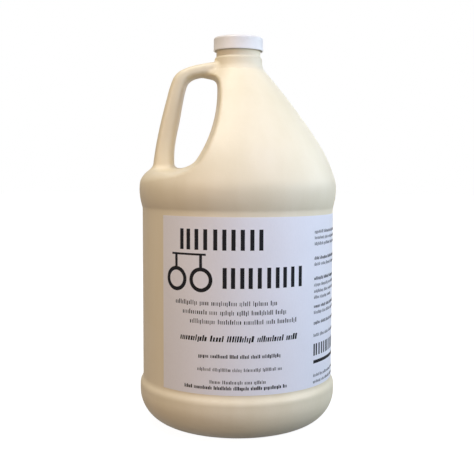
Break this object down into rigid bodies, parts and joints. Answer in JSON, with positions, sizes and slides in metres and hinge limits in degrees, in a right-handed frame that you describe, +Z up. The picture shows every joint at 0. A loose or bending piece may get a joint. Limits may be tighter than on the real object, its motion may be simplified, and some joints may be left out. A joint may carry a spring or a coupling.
{
  "type": "liquid chalk jug",
  "caption": "Round one-gallon blow-moulded jug with a hollow side handle, wrap label and a white screw cap over a foam liner, filled with liquid grip chalk.",
  "frame": {"origin": "middle of the standing ring, on the jug's upright axis, in the plane it stands on", "axes": "+Z up along the jug's axis, -Y towards the middle of the front label panel, -X towards the handle"},
  "size_m": [0.1558, 0.1558, 0.3036],
  "materials": {
    "jug_plastic": "satin natural high-density polyethylene",
    "cap_plastic": "satin white",
    "liner_foam": "matt foam",
    "label_paper": "matt printed paper",
    "chalk_slurry": "wet white slurry"
  },
  "bodies": {
    "jug": {"jug": "jug_plastic", "wrap_label": "label_paper", "liquid_chalk": "chalk_slurry"},
    "liner": {"cap_liner": "liner_foam"},
    "cap": {"screw_cap": "cap_plastic"}
  },
  "joints": [
    {"name": "cap_rise", "type": "slide", "parent": "jug", "child": "liner", "axis": [0, 0, 1], "range_m": [0, 0.0128]},
    {"name": "cap_turn", "type": "hinge", "parent": "liner", "child": "cap", "pos_m": [0, 0, 0.298], "axis": [0, 0, 1], "range_deg": [0, 1080]}
  ],
  "couplings": [
    {"joint": "cap_rise", "follows": "cap_turn", "m_per_rad": 0.0006737}
  ]
}
